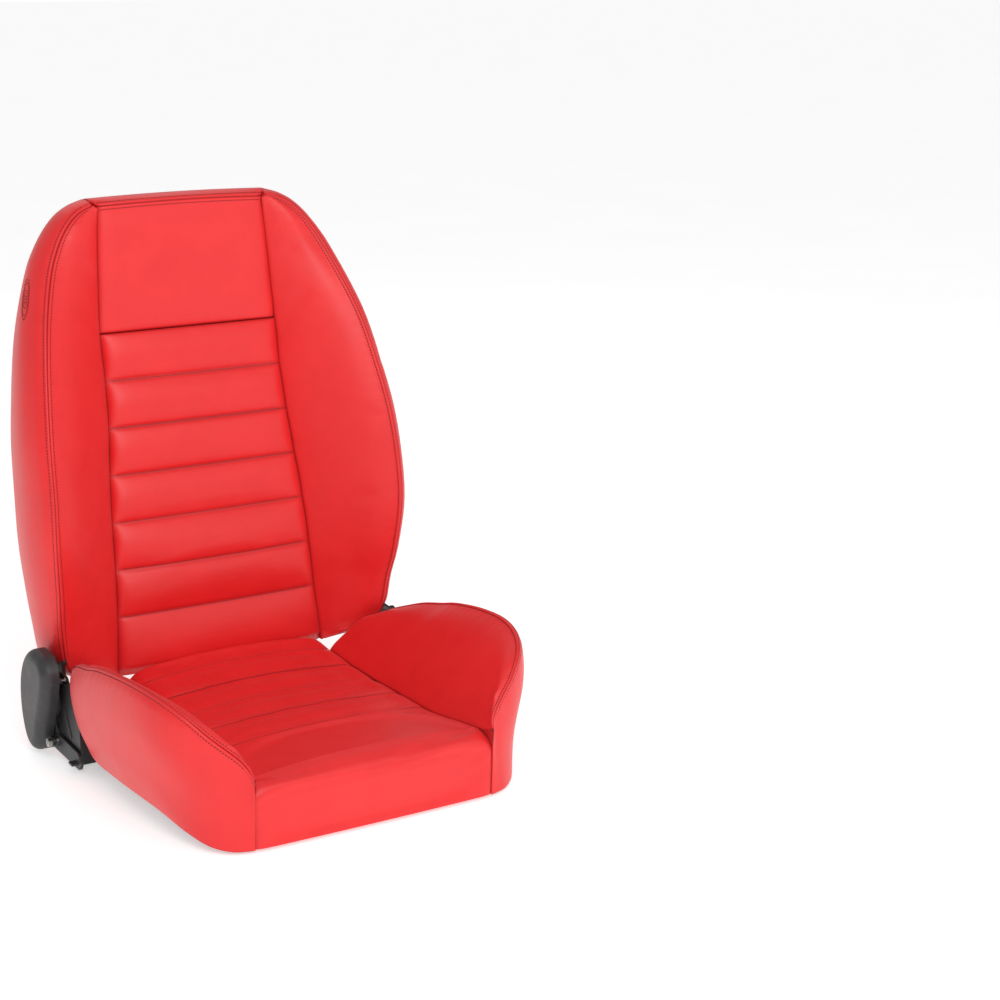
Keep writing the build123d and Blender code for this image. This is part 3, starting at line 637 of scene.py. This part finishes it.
rings, from_ridge, from_inner = [], [], []
for n in range(len(back_ridge)):
    inner, ridge, bulge, drop, rear = wing(n)
    rise = ridge - inner
    soft = min(1.0, np.linalg.norm(rise) / 60)
    face = linked([
        inner + (-0.5, 5 * soft, 0), inner + rise * 0.07 + (1.5 * soft, 0.5 * soft, 0),
        inner + rise * 0.36 + (0, -4 * soft, 0), inner + rise * 0.72 + (-4 * soft, -7 * soft, 0), ridge],
        section_points)
    depth = rear - ridge[1]
    out = sideways[n]
    boxing = linked([
        ridge, ridge + out * bulge * 0.62 + (0, depth * 0.10, 0), ridge + out * bulge + (0, depth * 0.36, 0),
        ridge + out * (bulge - drop * 0.30) + (0, depth * 0.72, 0),
        ridge + out * (bulge - drop) + (0, depth, 0)], section_points)
    _, face_length = by_distance(face, [0])
    _, boxing_length = by_distance(boxing, [0])
    up = face_length - from_seam(face_length, ridge_near, 34)[::-1]
    down = from_seam(boxing_length, ridge_near, 44)[1:]
    face_points, _ = by_distance(face, up)
    boxing_points, _ = by_distance(boxing, down)
    edge = boxing_points[-1]
    tuck = np.array([
        edge - out * 6 + (0, 1.2, 0), edge - out * 14 + (0, 0.5, 0), edge - out * 16 + (0, -8, 0),
        [inner[0] + 4, foam_back, inner[2]], [inner[0] + 1, foam_side, inner[2]]])
    rings.append(np.vstack([face_points, boxing_points, tuck]))
    from_ridge.append(np.r_[up - face_length, down, np.full(underside, 60.0)])
    from_inner.append(np.r_[up, np.full(len(down) + underside, 60.0)])
rings, from_ridge, from_inner = np.array(rings), np.array(from_ridge), np.array(from_inner)
held = (np.abs(from_ridge) < 4) | (from_inner < 4)
held[:, -7:] = True
held[:3] = held[-2:] = True
rings = rings + filled_out(rings, held, 4.0, 6.0)
steps = np.arange(len(rings))
gathers = 0.3 * np.sin(steps * 1.3 + 1.5 * np.sin(steps * 0.17))[:, None]
away = np.abs(from_ridge)
detail = lapped_seam(from_ridge) + gathers * np.exp(-away / 12) * between(away, 5, 9)
detail[:, -underside:] = 0
rings = rings + outward(rings) * detail[..., None]
# Painted shade: how far the vinyl's colour is darkened in the ridge groove, at the stitch dips and at the
# inner seam.
crease_shade_map = np.maximum(0.9 * np.exp(-(away / 1.1) ** 2), 0.7 * np.exp(-from_inner / 1.8))
crease_shade_map = np.maximum(crease_shade_map, 0.35 * np.exp(-((away - stitch_off) / 1.0) ** 2))
back_bolster_rings = rings
back_from_ridge = from_ridge
for side, name in ((1, "right"), (-1, "left")):
    bolster = closed_pad(f"back_bolster_cover_{name}", leaned(rings * (side, 1, 1)))
    if side < 0:
        bolster.data.flip_normals()
    mark(bolster, "crease_shade", crease_shade_map)
    dress(bolster, vinyl, "backrest")
    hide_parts(f"back_bolster_{name}")

# ---- Headrest pad ----------------------------------------------------------------------------------
# The plain panel above the channels, and the strip of boxing that rolls over the top of the back
# between the two shoulders. The seam at the front of the roll is topstitched on both sides.

top_z, crest = 675.5, 12.0
levels = top_z - from_seam(top_z - head_seam, ridge_near, 60)[::-1]
rings, from_top = [], []
for z in levels:
    w, y = np.interp(z, back_side[:, 2], back_side[:, 0]), np.interp(z, back_side[:, 2], back_side[:, 1])
    from_edge = (1 - np.abs(across)) * w
    crown = 9.0 * (1 - np.abs(across) ** 2.4) * between(z, head_seam - 30, head_seam + 60)
    crown *= 1 - 0.45 * between(z, 640, 674)
    lip = -back_valley * np.exp(-from_edge / 5.0)
    pinch = 3.6 * np.exp(-(z - head_seam) / 5.0)
    bow = 2.5 * (1 - across ** 2) * between(z, 600, top_z)
    front = np.stack([across * w, y - crown - lip + pinch, z + bow], 1)
    rear = np.array([[w - 1, foam_side, z], [w - 1, foam_back, z], [0, foam_back, z],
                     [-w + 1, foam_back, z], [-w + 1, foam_side, z]])
    rings.append(np.vstack([front, rear]))
    from_top.append(z - top_z)
seam_row = len(rings) - 1
roll = linked([(0, 35, top_z), (0, 41, top_z + 6.5), (0, 55, top_z + crest), (0, 78, top_z + crest - 2),
               (0, 98, top_z - 1), (0, 111, top_z - 12)], 400)
roll, _ = by_distance(roll, from_seam(95, ridge_near, 30)[1:])
for (_, y, z), distance in zip(roll, from_seam(95, ridge_near, 30)[1:]):
    w = 126 + 9 * between(y, 35, 44)
    from_edge = (1 - np.abs(across)) * w
    crown = 2.5 * (1 - across ** 2)
    forward = -9.0 * 0.55 * (1 - np.abs(across) ** 2.4) * (1 - between(y, 34, 60))
    lip = back_valley * np.exp(-from_edge / 5.0) * (1 - between(y, 36, 60))
    front = np.stack([across * w, y + forward + lip, z + crown], 1)
    inside_z = min(z - 12, 664)
    inside_y = max(y, foam_back) - 2
    rear = np.array([[w - 1, max(y, foam_side), inside_z], [w - 1, inside_y, inside_z - 3],
                     [0, inside_y, inside_z - 3], [-w + 1, inside_y, inside_z - 3],
                     [-w + 1, max(y, foam_side), inside_z]])
    rings.append(np.vstack([front, rear]))
    from_top.append(distance)
from_top = np.array(from_top)
rings = np.array(rings)
held = np.zeros(rings.shape[:2], bool)
held[:, len(across):] = True
held[:, at_side < 5] = True
held[:2] = held[-2:] = held[seam_row - 4:seam_row + 5] = True
rings = rings + filled_out(rings, held, 5.0, 7.0)
detail = np.tile(lapped_seam(from_top)[:, None], (1, rings.shape[1]))
detail[:, len(across):] = 0
rings = rings + outward(rings) * detail[..., None]
# Painted shade: how far the vinyl's colour is darkened at the side seams, the head seam and the stitch dips.
crease_shade_map = np.tile(0.7 * np.exp(-at_side / 1.8), (len(rings), 1))
crease_shade_map[0] = np.maximum(crease_shade_map[0], 0.7)
crease_shade_map = np.maximum(crease_shade_map, 0.9 * np.exp(-(from_top / 1.1) ** 2)[:, None])
crease_shade_map = np.maximum(crease_shade_map, 0.35 * np.exp(-((np.abs(from_top) - stitch_off) / 1.0) ** 2)[:, None])
crease_shade_map[:, len(across):] = 0
headrest_rings = rings
headrest = closed_pad("headrest_cover", leaned(rings))
mark(headrest, "crease_shade", crease_shade_map)
dress(headrest, vinyl, "backrest")
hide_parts("headrest_pad")

# ---- Rear board ------------------------------------------------------------------------------------
# Fibreboard padded with thin felt and wrapped in the same vinyl, clipped to the hoop. It swells
# slightly towards its middle, and a welt runs round its edge.

edge_right = []
for n in range(0, len(back_ridge), 2):
    _, ridge, bulge, drop, _ = wing(n)
    if ridge[2] > 50:
        edge_right.append(ridge + sideways[n] * (bulge - drop - 3) + (0, rear_y - ridge[1], 0))
edge_right = np.array(edge_right)
foot_x = np.linspace(-1, 1, 42)[1:-1] * edge_right[0, 0]
top_x = np.linspace(1, -1, 26)[1:-1] * edge_right[-1, 0]
foot_line = np.stack([foot_x, np.full_like(foot_x, rear_y), np.full_like(foot_x, edge_right[0, 2])], 1)
top_line = np.stack([top_x, np.full_like(top_x, rear_y), np.full_like(top_x, edge_right[-1, 2])], 1)
loop = np.vstack([edge_right, top_line, edge_right[::-1] * (-1, 1, 1), foot_line])
centre = np.array([0, rear_y, 340.0])
rings = []
for scale, back in ((0.97, -3), (1.0, -1.5), (1.0, 0.6), (0.992, 2.0), (0.975, 2.8), (0.94, 3.6), (0.85, 4.8),
                    (0.7, 6.2), (0.5, 7.2), (0.3, 7.8), (0.12, 8.0)):
    ring = centre + (loop - centre) * (scale, 1, scale)
    ring[:, 1] = rear_y + back - 2
    rings.append(ring)
board = closed_pad("rear_board_cover", leaned(np.array(rings)))
mark(board, "crease_shade", np.zeros((1, 1)))
dress(board, vinyl, "backrest")
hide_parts("back_panel")

welt_r = 2.6
round_edge = centre + (np.vstack([loop, loop[:1]]) - centre) * (1.004, 1, 1.004) + (0, 0.6, 0)
welt_line = leaned(linked(round_edge, 420))


def cord_along(name, line, radius, sides):
    """A round tube along a line of points, in millimetres."""
    forward = np.gradient(line, axis=0)
    forward /= np.linalg.norm(forward, axis=1, keepdims=True)
    up = np.cross(forward, (0.13, 0.96, 0.24))
    up /= np.linalg.norm(up, axis=1, keepdims=True)
    across_it = np.cross(forward, up)
    angles = np.arange(sides) / sides * math.tau
    ring = (up[:, None] * np.cos(angles)[None, :, None] + across_it[:, None] * np.sin(angles)[None, :, None])
    return closed_pad(name, line[:, None] + ring * radius)


welt = cord_along("rear_welt", welt_line, welt_r, 8)
dress(welt, vinyl, "backrest")

# ---- Topstitching ----------------------------------------------------------------------------------
# Bonded polyester thread, 4.4 mm to the stitch, coloured far darker than the vinyl as painted shade
# for stitches sunk in their holes. Each stitch lies in the dimple that its tension pulls.

thread, tree, shader, here = new_material("bonded_polyester_thread")
twist_mm = 0.9
twist = add(tree, "ShaderNodeTexNoise", {"Scale": 1 / (twist_mm * mm), "Detail": 3, "Roughness": 0.5},
            {"Vector": here})
# The thread's dark red is painted shade for stitches sunk in their holes; the real thread is the vinyl's red.
tint = add(tree, "ShaderNodeValToRGB", links={"Fac": twist}, stops=[(0.3, "#5E0406"), (0.7, "#7C0A0C")])
shader.inputs["Roughness"].default_value = 0.6
strands = add(tree, "ShaderNodeTexWave", {"Scale": 1 / (twist_mm * mm) / wave_bands}, {"Vector": here},
              bands_direction="DIAGONAL")
skin = add(tree, "ShaderNodeBump", {"Strength": 0.7, "Distance": 0.1 * mm},
           {"Height": strands.outputs["Fac"]})
connect(tree, shader, {"Base Color": tint, "Normal": skin})
pitch_mm, stitch_mm, thread_mm, thread_sides = 4.4, 2.5, 1.5, 6
stitch_shape = [  # place along the stitch, share of the full thickness, height above the cover
    (0, 0.35, -0.45), (0.22, 0.9, 0.1), (0.5, 1.0, 0.32), (0.78, 0.9, 0.1), (1, 0.35, -0.45)]


def stitch_row(line, normals):
    """Corners and faces of a row of stitches along a line of points."""
    along = np.r_[0, np.cumsum(np.linalg.norm(np.diff(line, axis=0), axis=1))]
    verts, faces = [], []
    for middle in np.arange(pitch_mm, along[-1] - pitch_mm / 2, pitch_mm):
        ends = [np.array([np.interp(middle + d, along, line[:, k]) for k in range(3)])
                for d in (-stitch_mm / 2, stitch_mm / 2)]
        up = np.array([np.interp(middle, along, normals[:, k]) for k in range(3)])
        up /= np.linalg.norm(up)
        forward = ends[1] - ends[0]
        forward /= np.linalg.norm(forward)
        side = np.cross(forward, up)
        start = len(verts)
        for t, width, height in stitch_shape:
            core = ends[0] + (ends[1] - ends[0]) * t + up * height
            for a in range(thread_sides):
                angle = a / thread_sides * math.tau
                reach = thread_mm / 2 * width
                verts.append(core + side * math.cos(angle) * reach + up * math.sin(angle) * reach)
        for i in range(start, len(verts) - thread_sides, thread_sides):
            j = i + thread_sides
            for a in range(thread_sides):
                b = (a + 1) % thread_sides
                faces.append((i + a, i + b, j + b, j + a))
        faces.append(tuple(start + a for a in range(thread_sides - 1, -1, -1)))
        faces.append(tuple(len(verts) - thread_sides + a for a in range(thread_sides)))
    return verts, faces


def sewn(name, rows, body):
    """One piece from several rows of stitches, each a line and its normals."""
    verts, faces = [], []
    for line, normals in rows:
        more, around = stitch_row(line, normals)
        faces += [tuple(len(verts) + i for i in face) for face in around]
        verts += more
    mesh = bpy.data.meshes.new(name)
    mesh.from_pydata([tuple(v * mm) for v in verts], [], faces)
    mesh.update()
    mesh.polygons.foreach_set("use_smooth", [True] * len(faces))
    piece = bpy.data.objects.new(name, mesh)
    bpy.context.scene.collection.objects.link(piece)
    dress(piece, thread, body)


def beside(rings, distances, offset, first=0, last=None):
    """The line at this distance from the seam, and its normals."""
    found = []
    for grid in (rings, outward(rings)):
        found.append([[np.interp(offset, d[:-underside], r[:-underside, k]) for k in range(3)]
                      for r, d in zip(grid, distances)])
    return np.array(found[0])[first:last], np.array(found[1])[first:last]


rows_base, rows_back = [], []
for offset in (-stitch_off, stitch_off):
    line, ups = beside(cushion_bolster_rings, cushion_from_ridge, offset, 7, -4)
    rows_base += [(line, ups), (line * (-1, 1, 1), ups * (-1, 1, 1))]
    line, ups = beside(back_bolster_rings, back_from_ridge, offset, 32, -3)
    for side in (1, -1):
        rows_back.append((leaned(line * (side, 1, 1)), ups * (side, 1, 1)))
up_from_pad = outward(cushion_pad_rings)
for s in cushion_seams:
    n = int(np.argmin(np.abs(top_y - s)))
    rows_base.append((cushion_pad_rings[n, 4:count_top - 4], up_from_pad[n, 4:count_top - 4]))
out_of_pad = outward(back_pad_rings)
for s in back_seams[:-1]:
    n = int(np.argmin(np.abs(pad_levels - s)))
    rows_back.append((leaned(back_pad_rings[n, 3:94]), out_of_pad[n, 3:94]))
out_of_head = outward(headrest_rings)
for offset in (-stitch_off, stitch_off):
    n = int(np.argmin(np.abs(from_top - offset)))
    rows_back.append((leaned(headrest_rings[n, 1:96]), out_of_head[n, 1:96]))
out_of_bolster = outward(back_bolster_rings)
patch_level, patch_from_ridge, patch_tall, patch_wide = 0.79, 44.0, 30.0, 10.0


def patch_row(size):
    """A closed oval on the left boxing."""
    line, ups = [], []
    arc = np.r_[0, np.cumsum(np.linalg.norm(np.diff(back_ridge, axis=0), axis=1))]
    for turn in np.linspace(0, math.tau, 40):
        level = patch_level * arc[-1] + patch_tall * size * math.cos(turn)
        n = int(np.argmin(np.abs(arc - level)))
        offset = patch_from_ridge + patch_wide * size * math.sin(turn)
        reach = back_from_ridge[n][:-underside]
        for target, source in ((line, back_bolster_rings), (ups, out_of_bolster)):
            target.append([np.interp(offset, reach, source[n][:-underside, k]) for k in range(3)])
    return leaned(np.array(line) * (-1, 1, 1)), np.array(ups) * (-1, 1, 1)


for size in (1.0, 0.86, 0.5, 0.25):
    rows_back.append(patch_row(size))
sewn("cushion_topstitching", rows_base, "seat_base")
sewn("back_topstitching", rows_back, "backrest")

# ---- Setting: floor, light and camera --------------------------------------------------------------
# A pale floor, a large soft key from the front left, a weak fill from the right and a weak rim light.

floor_mesh = bpy.data.meshes.new("floor")
far, under_rails = 40, -0.0005
corners = [(x, y, under_rails) for x, y in ((-far, -far), (far, -far), (far, far), (-far, far))]
floor_mesh.from_pydata(corners, [], [(0, 1, 2, 3)])
floor = bpy.data.objects.new("floor", floor_mesh)
bpy.context.scene.collection.objects.link(floor)
paper, tree, shader, here = new_material("pale_paper")
cloud_mm = 400
mottle = add(tree, "ShaderNodeTexNoise", {"Scale": 1 / (cloud_mm * mm), "Detail": 2, "Roughness": 0.5},
             {"Vector": here})
tint = add(tree, "ShaderNodeValToRGB", links={"Fac": mottle}, stops=[(0.4, "#F6F6F6"), (0.6, "#F8F8F8")])
connect(tree, shader, {"Base Color": tint})
shader.inputs["Roughness"].default_value = 0.9
shader.inputs["Emission Color"].default_value = (1, 1, 1, 1)
shader.inputs["Emission Strength"].default_value = 0.48
floor_mesh.materials.append(paper)

world = bpy.data.worlds.new("studio")
bpy.context.scene.world = world
world.use_nodes = True
around = world.node_tree
seen = add(around, "ShaderNodeLightPath")
strength = add(around, "ShaderNodeMapRange", {"To Min": 0.5, "To Max": 1.0}, {"Value": seen})
around.nodes["Background"].inputs["Color"].default_value = (1, 1, 1, 1)
connect(around, around.nodes["Background"], {"Strength": strength})
bpy.context.scene.view_settings.view_transform = "Standard"


def soft_light(name, spot, aim, size, power):
    """A square area light at a spot, aimed at a point."""
    light = bpy.data.lights.new(name, "AREA")
    light.size, light.energy = size, power
    holder = bpy.data.objects.new(name, light)
    holder.location = spot
    holder.rotation_euler = (Vector(aim) - Vector(spot)).to_track_quat("-Z", "Y").to_euler()
    bpy.context.scene.collection.objects.link(holder)


soft_light("key", (-0.8, -3.0, 2.5), (0, 0, 0.35), 2.2, 62)
soft_light("fill", (1.9, -2.2, 1.5), (0, 0, 0.3), 2.0, 10)
soft_light("rim", (0.4, 2.4, 2.6), (0, 0.2, 0.5), 1.8, 8)

camera_data = bpy.data.cameras.new("camera")
camera_data.lens, camera_data.sensor_width = 74.32, 36
camera = bpy.data.objects.new("camera", camera_data)
camera.location = (-1.1399, -2.4557, 1.0971)
azimuth, elevation = math.radians(-31.076), math.radians(15.0)
backwards = Vector((math.sin(azimuth) * math.cos(elevation), -math.cos(azimuth) * math.cos(elevation),
                    math.sin(elevation)))
camera.rotation_euler = (-backwards).to_track_quat("-Z", "Y").to_euler()
bpy.context.scene.collection.objects.link(camera)
bpy.context.scene.camera = camera

bpy.context.view_layer.update()
